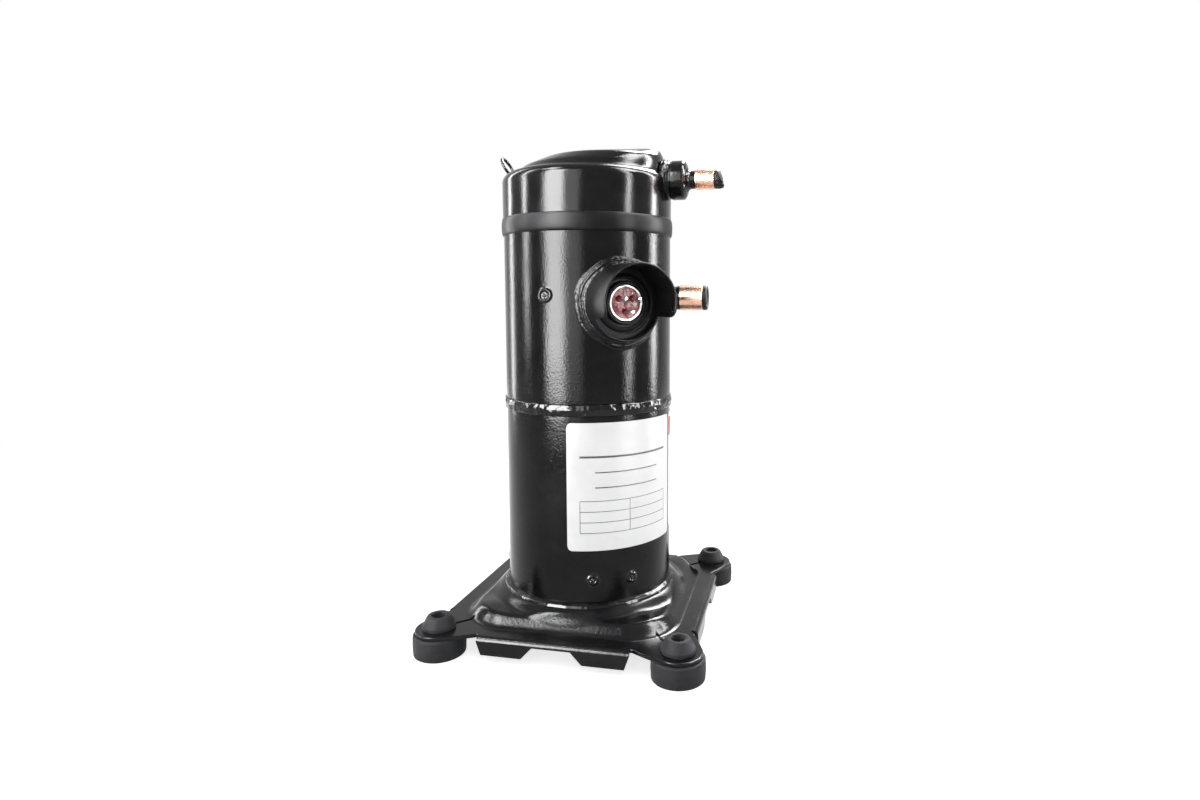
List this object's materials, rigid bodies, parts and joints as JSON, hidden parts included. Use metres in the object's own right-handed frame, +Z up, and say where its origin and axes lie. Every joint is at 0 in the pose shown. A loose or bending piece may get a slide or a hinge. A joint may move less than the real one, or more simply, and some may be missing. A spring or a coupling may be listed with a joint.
{
  "type": "hermetic scroll compressor",
  "caption": "Tall welded hermetic compressor with a domed cap, hooded terminal, copper stubs, a pressed base plate on rubber feet, and its scroll set and motor inside.",
  "frame": {"origin": "on the floor under the shell's axis, at the centre of the mounting feet's pattern", "axes": "+Z up along the shell's axis, +X the way both stubs point, -Y towards the front"},
  "size_m": [0.2317, 0.2314, 0.3985],
  "materials": {
    "shell_paint": "gloss black paint over steel, fine orange peel",
    "foot_rubber": "matt moulded rubber",
    "plug_rubber": "satin black rubber",
    "copper_tube": "drawn copper with a light brushed finish",
    "pin_steel": "bright plated steel",
    "terminal_seal": "glossy dark red sealing compound",
    "label_face": "bare satin film label",
    "cast_iron": "machined grey iron",
    "ground_steel": "ground steel",
    "core_steel": "stacked electrical steel",
    "cast_aluminium": "die-cast aluminium",
    "copper_winding": "varnished copper wire",
    "bearing_metal": "lined bearing bronze",
    "seal_ring": "filled seal polymer on a steel ring",
    "moulded_plastic": "moulded plastic",
    "magnet": "ferrite magnet"
  },
  "bodies": {
    "housing": {"base_plate": "shell_paint", "base_weld": "shell_paint", "cap_weld": "shell_paint", "check_valve_stop": "pin_steel", "discharge_fitting": "shell_paint", "discharge_tube": "copper_tube", "fixed_scroll": "cast_iron", "front_label": "label_face", "grommet_left_front": "foot_rubber", "grommet_left_rear": "foot_rubber", "grommet_right_front": "foot_rubber", "grommet_right_rear": "foot_rubber", "lifting_ring": "shell_paint", "lower_bearing_bracket": "cast_iron", "lower_bearing_bush": "bearing_metal", "lower_plug_welds": "shell_paint", "lower_shell": "shell_paint", "lower_windings": "copper_winding", "main_bearing_bush": "bearing_metal", "main_bearing_housing": "cast_iron", "mid_weld": "shell_paint", "motor_leads": "copper_winding", "motor_protector": "moulded_plastic", "muffler_plate": "cast_iron", "scroll_screws": "pin_steel", "side_label": "label_face", "stator_core": "core_steel", "suction_baffle": "ground_steel", "suction_fitting": "shell_paint", "suction_tube": "copper_tube", "sump_magnet": "magnet", "terminal_connector": "moulded_plastic", "terminal_cup": "shell_paint", "terminal_fence": "shell_paint", "terminal_insulator": "terminal_seal", "terminal_pins": "pin_steel", "terminal_plate": "shell_paint", "terminal_weld": "shell_paint", "top_cap": "shell_paint", "upper_plug_welds": "shell_paint", "upper_shell": "shell_paint", "upper_windings": "copper_winding"},
    "crank": {"crankshaft": "ground_steel", "drive_bushing": "ground_steel", "oil_pickup": "ground_steel", "rotor_core": "core_steel", "rotor_end_rings": "cast_aluminium", "upper_counterweight": "ground_steel", "lower_counterweight": "ground_steel"},
    "orbiter": {"orbiting_scroll": "cast_iron", "orbiting_bearing": "bearing_metal"},
    "oldham": {"oldham_ring": "ground_steel"},
    "seal": {"floating_seal": "seal_ring"},
    "valve": {"check_valve_disc": "pin_steel"},
    "suction_stopper": {"suction_plug": "plug_rubber"},
    "discharge_stopper": {"discharge_plug": "plug_rubber"}
  },
  "joints": [
    {"name": "crankshaft_spin", "type": "hinge", "parent": "housing", "child": "crank", "pos_m": [0, 0, 0.15], "axis": [0, 0, 1], "continuous": true},
    {"name": "scroll_orbit", "type": "hinge", "parent": "crank", "child": "orbiter", "pos_m": [0.00375, 0, 0.281], "axis": [0, 0, 1], "continuous": true},
    {"name": "oldham_slide", "type": "slide", "parent": "housing", "child": "oldham", "axis": [1, 0, 0], "range_m": [-0.00375, 0.00375]},
    {"name": "floating_seal_lift", "type": "slide", "parent": "housing", "child": "seal", "axis": [0, 0, 1], "range_m": [0, 0.001]},
    {"name": "check_valve_travel", "type": "slide", "parent": "housing", "child": "valve", "axis": [1, 0, 0], "range_m": [0, 0.003]},
    {"name": "suction_plug_pull", "type": "slide", "parent": "housing", "child": "suction_stopper", "axis": [1, 0, 0], "range_m": [0, 0.03]},
    {"name": "discharge_plug_pull", "type": "slide", "parent": "housing", "child": "discharge_stopper", "axis": [1, 0, 0], "range_m": [0, 0.03]}
  ],
  "couplings": [
    {"joint": "scroll_orbit", "follows": "crankshaft_spin", "ratio": -1}
  ]
}
